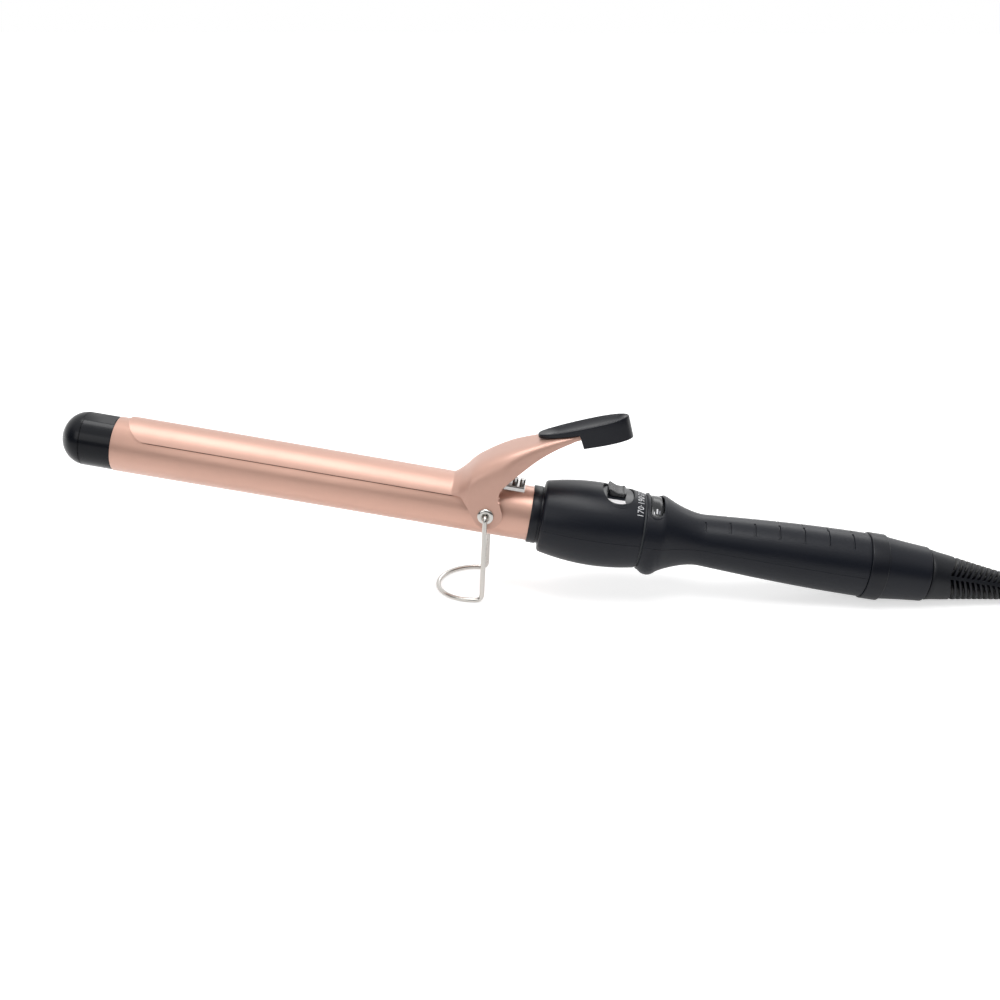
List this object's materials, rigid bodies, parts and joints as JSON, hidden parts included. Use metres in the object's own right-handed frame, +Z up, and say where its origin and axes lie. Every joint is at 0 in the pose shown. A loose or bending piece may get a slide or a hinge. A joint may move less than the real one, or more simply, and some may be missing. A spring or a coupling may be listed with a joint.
{
  "type": "curling iron",
  "caption": "Hair curling iron with rose-gold barrel and spring clamp, fold-out wire stand, slide switch, temperature dial, turning cord boot and a mains cord folded into a tied hank.",
  "frame": {"origin": "middle of the iron's length on the surface it lies on", "axes": "+X from the cool tip towards the cord, +Z up, +Y completes the right-handed frame and is the far side of the iron"},
  "size_m": [0.6972, 0.048, 0.0855],
  "materials": {
    "tip_black": "smooth heat-resistant nylon",
    "rose_barrel": "rose-gold coated tube, satin",
    "rose_clamp": "rose-gold coated stamping, satin",
    "cast_alloy": "as extruded",
    "ceramic_white": "fired ceramic",
    "sensor_grey": "moulded",
    "lead_white": "silicone sleeve",
    "lead_red": "silicone sleeve",
    "handle_black": "soft-touch, fine satin",
    "chrome_plate": "bright plated",
    "plated_steel": "bright plated steel",
    "spring_steel": "tempered strip",
    "frame_grey": "moulded nylon",
    "screw_steel": "zinc plated",
    "bezel_grey": "polished",
    "lens_white": "translucent white",
    "board_green": "glass-fibre laminate",
    "switch_blue": "moulded",
    "lamp_red": "clear red resin",
    "component_dark": "moulded components",
    "contact_brass": "stamped and turned",
    "cord_black": "PVC sheath, semi-matt",
    "tie_black": "soft tie",
    "plug_black": "moulded PVC",
    "pin_nickel": "nickel-plated pins",
    "pad_black": "polished",
    "stand_wire": "bright plated wire",
    "slider_black": "semi-gloss",
    "dial_black": "satin",
    "boot_rubber": "satin elastomer"
  },
  "bodies": {
    "iron": {"cool_tip": "tip_black", "barrel_tube": "rose_barrel", "heater_shoe_upper": "cast_alloy", "heater_shoe_lower": "cast_alloy", "heater_element": "ceramic_white", "temperature_sensor": "sensor_grey", "thermal_fuse": "ceramic_white", "heater_leads": "lead_white", "heat_collar": "handle_black", "pivot_rivets": "chrome_plate", "pivot_washers": "plated_steel", "spring_plate": "plated_steel", "spring_screws": "plated_steel", "lever_spring": "spring_steel", "inner_frame": "frame_grey", "housing_upper": "handle_black", "housing_lower": "handle_black", "grip_upper": "handle_black", "grip_lower": "handle_black", "case_screws": "screw_steel", "rear_band": "handle_black", "rear_cap": "handle_black", "switch_bezel": "bezel_grey", "indicator_lens": "lens_white", "control_board": "board_green", "switch_module": "switch_blue", "indicator_lamp": "lamp_red", "dial_sensor": "sensor_grey", "power_board": "board_green", "board_parts": "component_dark", "board_wires": "lead_red", "brush_contacts": "contact_brass", "power_cord": "cord_black", "cord_hank": "cord_black", "cord_tie": "tie_black", "plug_lead": "cord_black", "plug_body": "plug_black", "plug_pins": "pin_nickel"},
    "clamp": {"hair_clamp": "rose_clamp", "thumb_pad": "pad_black", "pad_screw": "screw_steel"},
    "stand": {"wire_stand": "stand_wire"},
    "switch": {"power_slider": "slider_black"},
    "dial": {"temperature_dial": "dial_black"},
    "boot": {"swivel_hub": "frame_grey", "slip_rings": "contact_brass", "strain_relief": "boot_rubber"}
  },
  "joints": [
    {"name": "clamp_hinge", "type": "hinge", "parent": "iron", "child": "clamp", "pos_m": [-0.03081, 0, 0.04196], "axis": [0, 1, 0], "range_deg": [0, 18], "stiffness_Nm_per_rad": 0.8, "springref_deg": -28.65, "deforming": ["lever_spring"]},
    {"name": "stand_hinge", "type": "hinge", "parent": "iron", "child": "stand", "pos_m": [-0.03081, 0, 0.04196], "axis": [0, 1, 0], "range_deg": [-60, 48]},
    {"name": "power_slide", "type": "slide", "parent": "iron", "child": "switch", "axis": [0.9903, 0, -0.1392], "range_m": [0, 0.0028]},
    {"name": "dial_turn", "type": "hinge", "parent": "iron", "child": "dial", "pos_m": [0.04422, 0, 0.02984], "axis": [0.9903, 0, -0.1392], "range_deg": [-60, 0]},
    {"name": "cord_swivel", "type": "hinge", "parent": "iron", "child": "boot", "pos_m": [0.16958, 0, 0.01222], "axis": [0.9903, 0, -0.1392], "continuous": true}
  ]
}
